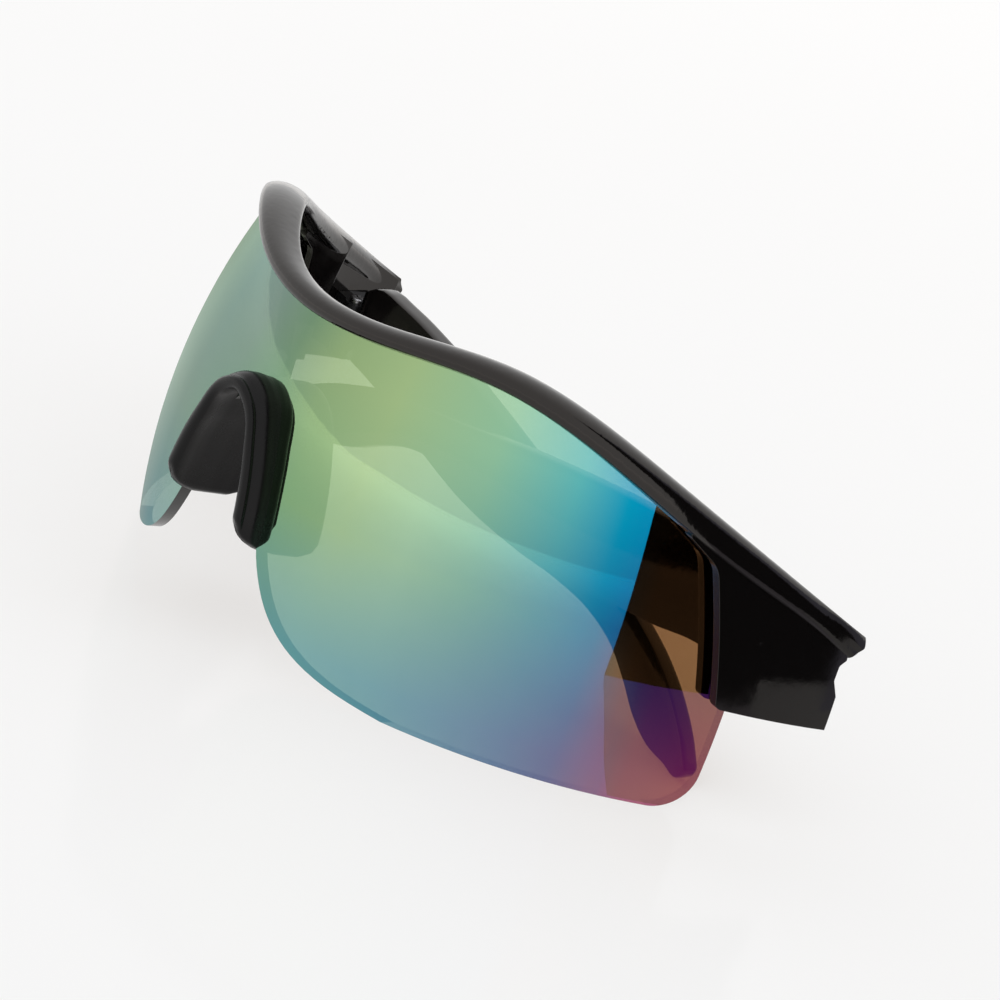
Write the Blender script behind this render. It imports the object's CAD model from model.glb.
"""Mirrored shield sunglasses with folded arms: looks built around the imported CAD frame."""
from math import cos, pi, radians, sin, sqrt
import bmesh
import bpy
from mathutils import Matrix, Vector


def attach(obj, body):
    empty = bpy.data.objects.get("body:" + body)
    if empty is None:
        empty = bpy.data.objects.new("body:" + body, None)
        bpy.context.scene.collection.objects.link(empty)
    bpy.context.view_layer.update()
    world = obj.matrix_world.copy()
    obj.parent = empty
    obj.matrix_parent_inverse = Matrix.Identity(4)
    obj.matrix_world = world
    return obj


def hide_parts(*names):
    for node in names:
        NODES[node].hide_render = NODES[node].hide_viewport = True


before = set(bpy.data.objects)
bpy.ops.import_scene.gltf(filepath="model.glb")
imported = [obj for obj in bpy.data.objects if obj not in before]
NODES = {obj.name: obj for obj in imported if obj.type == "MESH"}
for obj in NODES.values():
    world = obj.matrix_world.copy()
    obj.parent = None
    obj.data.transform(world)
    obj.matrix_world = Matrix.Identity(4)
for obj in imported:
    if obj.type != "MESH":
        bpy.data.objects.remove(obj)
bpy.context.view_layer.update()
MM = 0.001                  # lengths are in millimetres up to where a mesh or object takes them
FRONT_Y = -34.8             # the lens's foremost point in the middle


# ---- camera ----------------------------------------------------------------------------------
CAMERA_AZIMUTH = radians(50.2)
CAMERA_ELEVATION = radians(18.08)
CAMERA_ROLL = radians(18.69)
CAMERA_DISTANCE = 757.2 * MM
CAMERA_TARGET = Vector((14.6, 6.25, 27.8)) * MM
CAMERA_LENS = 175.04        # focal length in millimetres on a sensor of SENSOR_WIDTH
SENSOR_WIDTH = 36


def camera():
    """Long lens from the front left and above, tipped so that the right side of the picture drops."""
    level_reach = cos(CAMERA_ELEVATION)
    back = Vector((sin(CAMERA_AZIMUTH) * level_reach, -cos(CAMERA_AZIMUTH) * level_reach,
                   sin(CAMERA_ELEVATION)))
    level = Vector((cos(CAMERA_AZIMUTH), sin(CAMERA_AZIMUTH), 0))
    right = level * cos(CAMERA_ROLL) + back.cross(level) * sin(CAMERA_ROLL)
    up = back.cross(right)
    data = bpy.data.cameras.new("camera")
    data.lens = CAMERA_LENS
    data.sensor_width = SENSOR_WIDTH
    data.clip_start = 0.01
    data.clip_end = 20
    eye = bpy.data.objects.new("camera", data)
    bpy.context.scene.collection.objects.link(eye)
    turn = Matrix((right, up, back)).transposed().to_4x4()
    eye.matrix_world = Matrix.Translation(CAMERA_TARGET + back * CAMERA_DISTANCE) @ turn
    bpy.context.scene.camera = eye


# ---- node helpers ----------------------------------------------------------------------------
class Shader:
    """A node tree with short calls for adding and joining nodes."""

    def __init__(self, name):
        self.material = bpy.data.materials.new(name)
        self.material.use_nodes = True
        self.tree = self.material.node_tree
        self.tree.nodes.clear()
        self.out = self.add("ShaderNodeOutputMaterial")

    def add(self, kind, inputs=None, **settings):
        """New node; an input is either another node's socket, which is linked, or a plain value."""
        node = self.tree.nodes.new(kind)
        for key, value in settings.items():
            setattr(node, key, value)
        for key, value in (inputs or {}).items():
            if isinstance(value, bpy.types.NodeSocket):
                self.tree.links.new(value, node.inputs[key])
            else:
                node.inputs[key].default_value = value
        return node

    def math(self, operation, a, b=0.0):
        return self.add("ShaderNodeMath", {0: a, 1: b}, operation=operation).outputs[0]

    def ramp(self, factor, stops):
        """Colour read off a straight ramp through stops of (place, colour)."""
        node = self.add("ShaderNodeValToRGB", {0: factor})
        elements = node.color_ramp.elements
        while len(elements) < len(stops):
            elements.new(0.5)
        for element, (place, colour) in zip(elements, stops):
            element.position = place
            element.color = (*colour, 1)
        return node.outputs[0]

    def position(self):
        return self.add("ShaderNodeTexCoord").outputs["Object"]

    def noise(self, scale, detail=2.0):
        inputs = {"Vector": self.position(), "Scale": scale, "Detail": detail}
        return self.add("ShaderNodeTexNoise", inputs).outputs[0]

    def uneven(self, scale, detail, low, high):
        """Grey noise between two levels."""
        return self.ramp(self.noise(scale, detail), [(0.3, (low,) * 3), (0.7, (high,) * 3)])

    def blend(self, factor, first, second):
        """A surface between two shader nodes."""
        return self.add("ShaderNodeMixShader", {0: factor, 1: first.outputs[0], 2: second.outputs[0]})

    def finish(self, surface):
        """Joins the surface to the output and gives the material."""
        self.tree.links.new(surface, self.out.inputs["Surface"])
        return self.material


def black_plastic():
    """Glossy injection-moulded nylon: faint orange peel and uneven polish."""
    s = Shader("black_plastic")
    polish = s.ramp(s.noise(220, 4), [(0.35, (0.07,) * 3), (0.7, (0.15,) * 3)])
    edges = s.add("ShaderNodeBevel", {"Radius": 0.0002}, samples=8)
    bump = s.add("ShaderNodeBump", {"Strength": 0.02, "Distance": 0.0004, "Height": s.noise(900),
                                    "Normal": edges.outputs[0]})
    body = s.add("ShaderNodeBsdfPrincipled", {"Base Color": (0.0035, 0.0030, 0.0030, 1), "Roughness": polish,
                                              "Normal": bump.outputs[0], "IOR": 1.5,
                                              "Specular Tint": (1.0, 0.93, 0.88, 1)})
    return s.finish(body.outputs[0])


def nose_rubber():
    """Satin rubber with a fine grain."""
    s = Shader("nose_rubber_skin")
    rough = s.uneven(300, 3, 0.24, 0.34)
    bump = s.add("ShaderNodeBump", {"Strength": 0.08, "Distance": 0.0002, "Height": s.noise(2500, 3)})
    body = s.add("ShaderNodeBsdfPrincipled", {"Base Color": (0.0035, 0.0032, 0.0035, 1), "Roughness": rough,
                                              "Normal": bump.outputs[0], "IOR": 1.29})
    return s.finish(body.outputs[0])


def hinge_metal():
    """Blackened steel of the hinge leaves."""
    s = Shader("hinge_black_oxide")
    rough = s.uneven(600, 4, 0.28, 0.45)
    body = s.add("ShaderNodeBsdfPrincipled", {"Base Color": (0.02, 0.02, 0.022, 1), "Metallic": 0.6,
                                              "Roughness": rough})
    return s.finish(body.outputs[0])


def screw_steel():
    """Bright turned steel of the hinge screws."""
    s = Shader("screw_turned_steel")
    rough = s.uneven(1500, 3, 0.22, 0.4)
    body = s.add("ShaderNodeBsdfPrincipled", {"Base Color": (0.42, 0.42, 0.44, 1), "Metallic": 1.0,
                                              "Roughness": rough})
    return s.finish(body.outputs[0])


LENS_RADIUS = 67.2
LENS_AXIS_Y = (FRONT_Y + LENS_RADIUS) * MM
FOOT_BLEND = (5, 25)        # heights between which the film's low row gives way to its middle row
TOP_BLEND = (27, 46)        # and its middle row to its high row
BROWN_BLEND = (58, 64)      # angles between which the lens's tint turns brown and its rim turns clear
SWEEP = 80.0                # the film's rows run this many degrees to each side


def linear(*levels):
    """A colour from its display levels out of 255."""
    return tuple(((v / 255 + 0.055) / 1.055) ** 2.4 if v > 10 else v / 3295 for v in levels)


def lens_place(s):
    """A point on the lens: its angle round from the middle in degrees, its height in millimetres, its side.

    The side is 1 on the outer face, -1 on the inner one and near 0 on the rim.
    """
    place = s.position()
    xyz = s.add("ShaderNodeSeparateXYZ", {0: place})
    forward = s.math("SUBTRACT", LENS_AXIS_Y, xyz.outputs[1])
    angle = s.math("MULTIPLY", s.math("ARCTAN2", xyz.outputs[0], forward), 180 / pi)
    spoke = s.add("ShaderNodeCombineXYZ", {0: xyz.outputs[0], 1: s.math("MULTIPLY", forward, -1.0)})
    spoke = s.add("ShaderNodeVectorMath", {0: spoke.outputs[0]}, operation="NORMALIZE")
    shape = s.add("ShaderNodeNewGeometry")
    along = s.add("ShaderNodeVectorMath", {0: spoke.outputs[0], 1: shape.outputs["Normal"]},
                  operation="DOT_PRODUCT")
    behind = s.math("SUBTRACT", 1.0, s.math("MULTIPLY", shape.outputs["Backfacing"], 2.0))
    side = s.math("MULTIPLY", along.outputs["Value"], behind)
    return angle, s.math("MULTIPLY", xyz.outputs[2], 1000), side


# the film's colours round the lens: angle in degrees, then display levels
FILM_HIGH = [(-80, (150, 175, 156)), (-48, (160, 182, 165)), (-40, (150, 170, 150)), (-28, (143, 168, 152)),
             (-18, (124, 150, 142)), (-8, (120, 142, 132)), (2, (112, 142, 112)), (10, (140, 166, 118)),
             (22, (156, 182, 130)), (38, (140, 187, 153)), (50, (90, 177, 177)), (57, (0, 150, 184)),
             (63, (0, 130, 178))]
FILM_MIDDLE = [(-80, (120, 146, 142)), (-55, (140, 160, 148)), (-42, (172, 190, 176)), (-32, (165, 184, 172)),
               (-20, (132, 154, 143)), (0, (112, 150, 128)), (12, (128, 166, 122)), (22, (136, 170, 126)),
               (31, (130, 170, 140)), (40, (102, 154, 140)), (50, (58, 130, 146)), (56, (10, 112, 148)),
               (60, (0, 92, 140)), (66, (40, 32, 96))]
FILM_LOW = [(-80, (90, 126, 140)), (-52, (106, 144, 156)), (-40, (150, 168, 166)), (-30, (150, 168, 166)),
            (-20, (118, 152, 156)), (0, (110, 158, 158)), (20, (100, 158, 162)), (32, (88, 146, 160)),
            (42, (80, 128, 156)), (51, (72, 104, 148)), (58, (74, 78, 136)), (65, (60, 62, 130)),
            (68, (112, 44, 120)), (76, (140, 44, 112))]


def film_row(s, angle, stops):
    """The film's colour round the lens at one height."""
    factor = s.math("DIVIDE", s.math("ADD", angle, SWEEP), 2 * SWEEP)
    return s.ramp(factor, [((place + SWEEP) / (2 * SWEEP), linear(*colour)) for place, colour in stops])


def mix(s, factor, first, second):
    """A colour between two colours."""
    return s.add("ShaderNodeMix", {0: factor, 6: first, 7: second}, data_type="RGBA").outputs[2]


def step(s, value, low, high):
    """0 below low, 1 above high, a straight slope between."""
    return s.add("ShaderNodeMapRange", {0: value, 1: low, 2: high, 3: 0.0, 4: 1.0}).outputs[0]


def lens_mirror():
    """Interference film on a tinted shield: green in front, blue and violet towards the side and the foot."""
    s = Shader("lens_mirror_film")
    angle, height, side = lens_place(s)
    film = mix(s, step(s, height, *FOOT_BLEND), film_row(s, angle, FILM_LOW), film_row(s, angle, FILM_MIDDLE))
    film = mix(s, step(s, height, *TOP_BLEND), film, film_row(s, angle, FILM_HIGH))
    inside = s.add("ShaderNodeNewGeometry").outputs["Backfacing"]
    film = mix(s, inside, film, (0.02, 0.02, 0.018, 1))
    brown = step(s, angle, *BROWN_BLEND)
    tint = mix(s, brown, (0.13, 0.14, 0.11, 1), (0.26, 0.13, 0.055, 1))
    mirror = s.add("ShaderNodeBsdfGlossy", {"Color": film, "Roughness": 0.02})
    tinted = s.add("ShaderNodeBsdfTransparent", {"Color": tint})
    outer = s.add("ShaderNodeAddShader", {0: mirror.outputs[0], 1: tinted.outputs[0]})
    gloss = s.add("ShaderNodeBsdfGlossy", {"Color": (0.02, 0.02, 0.02, 1), "Roughness": 0.03})
    clear = s.add("ShaderNodeBsdfTransparent", {"Color": (0.95, 0.95, 0.95, 1)})
    inner = s.add("ShaderNodeAddShader", {0: gloss.outputs[0], 1: clear.outputs[0]})
    edge = s.add("ShaderNodeBsdfPrincipled", {"Base Color": (0.012, 0.012, 0.011, 1), "Roughness": 0.22,
                                              "IOR": 1.5})
    rim = s.blend(s.math("MULTIPLY", brown, 0.8), edge, clear)
    faces = s.blend(step(s, side, -0.4, -0.3), inner, rim)
    faces = s.blend(step(s, side, 0.45, 0.6), faces, outer)
    return s.finish(faces.outputs[0])


# ---- studio ----------------------------------------------------------------------------------
# the cards stand in rings about the lens's axis: distances in millimetres, angles in degrees
CARD_REACH = 127            # the upright cards stand this far out
CARD_START = 66.8           # the dark card begins this far round
RAISED_START = 96           # from here on its foot is raised
BLUE_START = 110            # and here the blue card takes over
CARD_TOP = 420
CARD_FOOT = 0.2
RAISED_FOOT = 9             # height of the raised foot
FLOOR_CARD_NEAR = 66.0      # the flat cards begin this far out
FLOOR_CARD_HEIGHT = 0.3


def link(name, mesh):
    """New object for a mesh, in the scene."""
    piece = bpy.data.objects.new(name, mesh)
    bpy.context.scene.collection.objects.link(piece)
    return piece


def card(name, corners, light, colour):
    """Strip through pairs of corners that shows only in reflections, and only from its front.

    Light 0 makes it black.
    """
    mesh = bpy.data.meshes.new(name)
    mesh.from_pydata(corners, [], [(i, i + 1, i + 3, i + 2) for i in range(0, len(corners) - 2, 2)])
    s = Shader(name)
    glow = s.add("ShaderNodeEmission", {"Color": (*colour, 1), "Strength": light})
    clear = s.add("ShaderNodeBsdfTransparent")
    back = s.add("ShaderNodeNewGeometry").outputs["Backfacing"]
    mesh.materials.append(s.finish(s.blend(back, glow, clear).outputs[0]))
    sheet = link(name, mesh)
    sheet.visible_camera = False
    sheet.visible_diffuse = False
    sheet.visible_shadow = False
    sheet.visible_transmission = False


def ring_point(reach, angle):
    """A point round the lens's axis, in metres."""
    return reach * sin(radians(angle)) * MM, LENS_AXIS_Y - reach * cos(radians(angle)) * MM


def sweep(start, end, steps):
    """Angles from start to end at even steps."""
    return [start + (end - start) * i / steps for i in range(steps + 1)]


def curved_card(name, start, end, low, light, colour=(1, 1, 1)):
    """Upright card bent round the lens's axis."""
    corners = [(*ring_point(CARD_REACH, a), z * MM) for a in sweep(start, end, 24) for z in (low, CARD_TOP)]
    card(name, corners, light, colour)


def flat_card(name, far, start, end, light, colour=(1, 1, 1)):
    """Part of a ring on the floor."""
    reaches = (FLOOR_CARD_NEAR, far)
    corners = [(*ring_point(r, a), FLOOR_CARD_HEIGHT * MM) for a in sweep(start, end, 16) for r in reaches]
    card(name, corners, light, colour)


def floor():
    """White floor with a faint sheen; the light that it gives off keeps its shadows warm and pale."""
    size = 6.0
    mesh = bpy.data.meshes.new("floor")
    corners = [(-size, -size, 0), (size, -size, 0), (size, size, 0), (-size, size, 0)]
    mesh.from_pydata(corners, [], [(0, 1, 2, 3)])
    ground = link("floor", mesh)
    s = Shader("white_acrylic")
    body = s.add("ShaderNodeBsdfPrincipled", {"Base Color": (0.46, 0.515, 0.561, 1), "Roughness": 0.12,
                                              "IOR": 1.08, "Emission Color": (1.0, 0.88, 0.78, 1),
                                              "Emission Strength": 0.46})
    mesh.materials.append(s.finish(body.outputs[0]))


def studio():
    """White surround, the floor, and the dark and dim cards on the right that the gloss shows."""
    world = bpy.data.worlds.new("studio")
    world.use_nodes = True
    world.node_tree.nodes["Background"].inputs[0].default_value = (1, 1, 1, 1)
    world.node_tree.nodes["Background"].inputs[1].default_value = 1.0
    bpy.context.scene.world = world
    bpy.context.scene.view_settings.view_transform = "Standard"
    floor()
    curved_card("black_card", CARD_START, RAISED_START, CARD_FOOT, 0.0)
    curved_card("raised_card", RAISED_START, BLUE_START, RAISED_FOOT, 0.0)
    curved_card("blue_card", BLUE_START, 132, CARD_FOOT, 0.45, (0.8, 0.8, 1.0))
    flat_card("dim_foot", CARD_REACH, CARD_START, RAISED_START, 0.42, (0.95, 0.9, 1.0))
    flat_card("dim_side", 220, RAISED_START, 116, 0.5)


# ---- mesh helpers ----------------------------------------------------------------------------
class Spline:
    """Smooth curve through points, measured by the chord lengths between them."""

    def __init__(self, points, closed=False):
        points = [Vector(p) for p in points]
        if closed:
            points = [points[-1]] + points + points[:2]
        knots = [0.0]
        for a, b in zip(points, points[1:]):
            knots.append(knots[-1] + (b - a).length)
        chords = [(b - a) / (v - u) for a, b, u, v in zip(points, points[1:], knots, knots[1:])]
        slopes = [chords[0]]
        for i in range(1, len(points) - 1):
            before, after = knots[i] - knots[i - 1], knots[i + 1] - knots[i]
            slopes.append((chords[i - 1] * after + chords[i] * before) / (before + after))
        slopes.append(chords[-1])
        if closed:
            points, knots, slopes = points[1:-1], knots[1:-1], slopes[1:-1]
            knots = [k - knots[0] for k in knots]
        self.points, self.knots, self.slopes = points, knots, slopes
        self.length = knots[-1]

    def at(self, k):
        """The point at chord length k, on a cubic between its two neighbours."""
        i = max([j for j, knot in enumerate(self.knots[:-1]) if knot <= k] or [0])
        span = self.knots[i + 1] - self.knots[i]
        t = (k - self.knots[i]) / span
        a, b = self.points[i], self.points[i + 1]
        straight = a * (2 * t ** 3 - 3 * t ** 2 + 1) + b * (3 * t ** 2 - 2 * t ** 3)
        bend = self.slopes[i] * (t ** 3 - 2 * t ** 2 + t) + self.slopes[i + 1] * (t ** 3 - t ** 2)
        return straight + bend * span

    def samples(self, count):
        """Points at even steps; a closed curve leaves its last point out."""
        return [self.at(self.length * i / count) for i in range(count)]


def skin(name, rings, body, node, material):
    """Piece with a closed mesh through rings of the same number of points, and a face over each end."""
    count = len(rings[0])
    verts = [Vector(p) * MM for ring in rings for p in ring]
    last = (len(rings) - 1) * count
    faces = []
    for base in range(0, last, count):
        for i in range(count):
            j = (i + 1) % count
            faces.append((base + i, base + j, base + count + j, base + count + i))
    faces += [tuple(range(count)), tuple(range(last, last + count))]
    mesh = bpy.data.meshes.new(name)
    mesh.from_pydata(verts, [], faces)
    work = bmesh.new()
    work.from_mesh(mesh)
    bmesh.ops.recalc_face_normals(work, faces=work.faces[:])
    work.to_mesh(mesh)
    work.free()
    for face in mesh.polygons:
        face.use_smooth = True
    mesh.materials.append(material)
    piece = link(name, mesh)
    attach(piece, body)
    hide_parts(node)


# ---- arms ------------------------------------------------------------------------------------
HINGE = Vector((61, FRONT_Y + 60, 25.2))    # the left hinge; the right one is its mirror image
HINGE_TILT = 2.8            # both axes lean this far, so that the folded arms cross
RIGHT_ARM_SWING = 6.0       # the right arm lies on the left one, this far from fully folded
ARM_LENGTH = 117.0
ARM_ROOT, ARM_TIP = 3.6, 3.0                # thickness at both ends
ARM_EDGE = 1.15             # radius of the arm's long edges at its root
ARM_HOOK = 12.0             # the ear tip bends this far inwards
ARM_HOOK_POWER = 2.6        # and the bend gathers towards the tip
ARM_TIP_ROUND = 1.6         # length over which the tip's thickness runs out
ARM_RINGS = 90
# side view from the hinge pin: along the upper edge to the tip and back along the lower edge
ARM_OUTLINE = [(2.7, 8.4), (5.5, 10.3), (13, 10.4), (24, 9.2), (42, 6.1), (61, 2.3), (77, -1.3), (92, -4.5),
               (100, -6.7), (109, -10.7), (114.5, -14.5), (117, -17.4), (115.4, -19.2), (111, -19.3),
               (105, -19.3), (99.5, -17.6), (94, -14.4), (88, -11.5), (80, -9.9), (70, -9.9), (57, -11.0),
               (40, -10.7), (30, -9.0), (22, -7.4), (14, -5.2), (2.7, -3.5)]
ARM_END = 11                # the outline's point at the tip


def rounded(length, width, radius):
    """Rectangle with round corners and extra points beside them, centred, as (along, across) pairs."""
    radius = min(radius, 0.499 * length, 0.499 * width)
    points = []
    for quarter, (sx, sy) in enumerate(((1, 1), (-1, 1), (-1, -1), (1, -1))):
        cx, cy = sx * (length / 2 - radius), sy * (width / 2 - radius)
        for i in range(6):
            a = pi / 2 * (quarter + i / 5)
            points.append((cx + radius * cos(a), cy + radius * sin(a)))
    return points


def arm_ring(high, low, narrow, inset):
    """Section of the arm between two points of its outline: narrow scales its thickness."""
    across = high - low
    length = across.length
    across.normalize()
    middle = (high + low) / 2
    ring = []
    for along, side in rounded(length - 2 * inset, 1, ARM_EDGE / ARM_ROOT):
        spot = middle + across * along
        t = spot.x
        width = (ARM_ROOT + (ARM_TIP - ARM_ROOT) * t / ARM_LENGTH) * narrow - 2 * inset
        hook = ARM_HOOK * max(t / ARM_LENGTH, 0) ** ARM_HOOK_POWER
        ring.append((-t, side * width - hook, spot.y))
    return ring


def arm_rings():
    """Sections from the root, whose rim is chamfered, to the rounded tip, closer together near it."""
    outline = Spline(ARM_OUTLINE)
    end = outline.knots[ARM_END]
    root_high, root_low = outline.at(0), outline.at(outline.length)
    shift = Vector((0.25, 0))
    rings = [arm_ring(root_high, root_low, 1, 0.5), arm_ring(root_high + shift, root_low + shift, 1, 0.12)]
    stations = [0.004 + 0.996 * (1 - (1 - i / ARM_RINGS) ** 1.7) for i in range(ARM_RINGS)] + [0.9985]
    for s in stations:
        left = (1 - s) * end
        narrow = sqrt(max(1 - (1 - min(left / ARM_TIP_ROUND, 1)) ** 2, 0.01))
        high, low = outline.at(s * end), outline.at(outline.length - s * (outline.length - end))
        rings.append(arm_ring(high, low, narrow, 0))
    return rings


def arm(name, side, swing, material):
    """One arm in its folded place; side is 1 for the left one and -1 for its mirror image."""
    place = Matrix.Translation((side * HINGE.x, HINGE.y, HINGE.z))
    place = place @ Matrix.Rotation(radians(HINGE_TILT), 4, "Y")
    place = place @ Matrix.Rotation(radians(-side * swing), 4, "Z")
    if side < 0:
        place = place @ Matrix.Scale(-1, 4, (1, 0, 0))
    rings = [[place @ Vector(p) for p in ring] for ring in arm_rings()]
    skin("arm_shell_" + name, rings, name + "_arm", "temple_" + name, material)


# ---- nose piece ------------------------------------------------------------------------------
# depth behind the lens's front, half width and top of the outer face
NOSE_STATIONS = [(-5.0, 11.2, 37.6), (-3.6, 11.8, 38.5), (1.0, 12.1, 39.6), (5.0, 12.4, 39.0),
                 (12.4, 12.4, 38.2)]
# depth and inset of a section through the wall, round the front bead, the crease and the rear edge
NOSE_SECTION = [(-3.6, 0.8), (-3.45, 0.25), (-3.05, 0.05), (-2.75, 0.2), (-2.6, 0.5), (-2.35, 0.3),
                (-1.7, -0.1), (-0.6, -0.25), (0.4, 0.05), (2.0, 0.3), (5.0, 0.0), (8.5, 0.0), (11.4, 0.1),
                (12.2, 0.55), (12.4, 1.1), (12.2, 1.75), (11.4, 2.15), (8.5, 2.2), (5.0, 2.2), (2.0, 2.2),
                (-0.5, 2.2), (-2.4, 2.25), (-3.2, 2.1), (-3.55, 1.6)]
# depth and height of the foot's lower edge
NOSE_FOOT = [(-4.0, 21.5), (-3.5, 19.8), (-2.9, 18.4), (-2.0, 17.2), (-1.0, 16.4), (0.4, 15.9), (2.0, 15.5),
             (5.0, 15.1), (9.0, 14.9), (11.0, 15.5), (12.0, 16.8), (12.6, 19.2)]
NOSE_WALL = 2.2
NOSE_STEPS = 44             # rings from the top of the arch to each foot


def between(table, x):
    """Straight interpolation in a table of rows that start with x."""
    x = min(max(x, table[0][0]), table[-1][0])
    for a, b in zip(table, table[1:]):
        if x <= b[0]:
            t = (x - a[0]) / (b[0] - a[0])
            return [u + (v - u) * t for u, v in zip(a[1:], b[1:])]


def nose_arch(depth, inset):
    """The arch at one depth, an inset in from the outer face, as points across and up."""
    half_width, top = between(NOSE_STATIONS, depth)
    half_width, top = half_width - inset, top - inset
    half = [(0, top), (0.40 * half_width, top - 2.0), (0.70 * half_width, top - 8.2),
            (0.93 * half_width, top - 17.0), (half_width, 8)]
    other = [(-x, z) for x, z in reversed(half[1:])]
    return Spline(other + half)


def nose_column(depth, inset):
    """Even points along the arch from one foot to the other, at one point of the section."""
    curve = nose_arch(depth, inset)
    foot = between(NOSE_FOOT, depth)[0] + 0.25 * (inset - NOSE_WALL / 2) ** 2
    low, high = 0.0, curve.length / 2
    for _ in range(30):
        half = (low + high) / 2
        if curve.at(half).y < foot:
            low = half
        else:
            high = half
    run = curve.length / 2 - low
    return [curve.at(curve.length / 2 + run * (i / NOSE_STEPS)) for i in range(-NOSE_STEPS, NOSE_STEPS + 1)]


def nose_piece(material):
    """Wall swept along the arch from one foot to the other; its ends are rounded."""
    section = [tuple(p) for p in Spline(NOSE_SECTION, closed=True).samples(72)]
    columns = [(depth, nose_column(depth, inset)) for depth, inset in section]
    rings = []
    for i in range(2 * NOSE_STEPS + 1):
        rings.append([(column[i].x, FRONT_Y + depth, column[i].y) for depth, column in columns])
    rings = end_cap(rings[0], rings[1]) + rings + end_cap(rings[-1], rings[-2])[::-1]
    skin("nose_saddle_pad", rings, "front", "nose_piece", material)


def end_cap(ring, inner):
    """Two smaller rings past a ring's end, to round it over the wall's thickness."""
    outwards = sum(((Vector(a) - Vector(b)).normalized() for a, b in zip(ring, inner)), Vector()) / len(ring)
    count = len(ring)
    middle = [(Vector(ring[i]) + Vector(ring[-i % count])) / 2 for i in range(count)]
    caps = []
    for keep, push in ((0.25, 0.75), (0.8, 0.35)):
        caps.append([tuple(m + (Vector(p) - m) * keep + outwards * push) for p, m in zip(ring, middle)])
    return caps


def dress(name, material):
    """Gives a CAD node its material."""
    NODES[name].data.materials.clear()
    NODES[name].data.materials.append(material)


# ---- assembly --------------------------------------------------------------------------------
camera()
studio()
plastic = black_plastic()
metal = hinge_metal()
steel = screw_steel()
dress("brow_frame", plastic)
dress("shield_lens", lens_mirror())
NODES["shield_lens"].visible_diffuse = False
nose_piece(nose_rubber())
arm("left", 1, 0, plastic)
arm("right", -1, RIGHT_ARM_SWING, plastic)
for side in ("left", "right"):
    dress("hinge_front_" + side, metal)
    dress("hinge_arm_" + side, metal)
    dress("hinge_screw_" + side, steel)
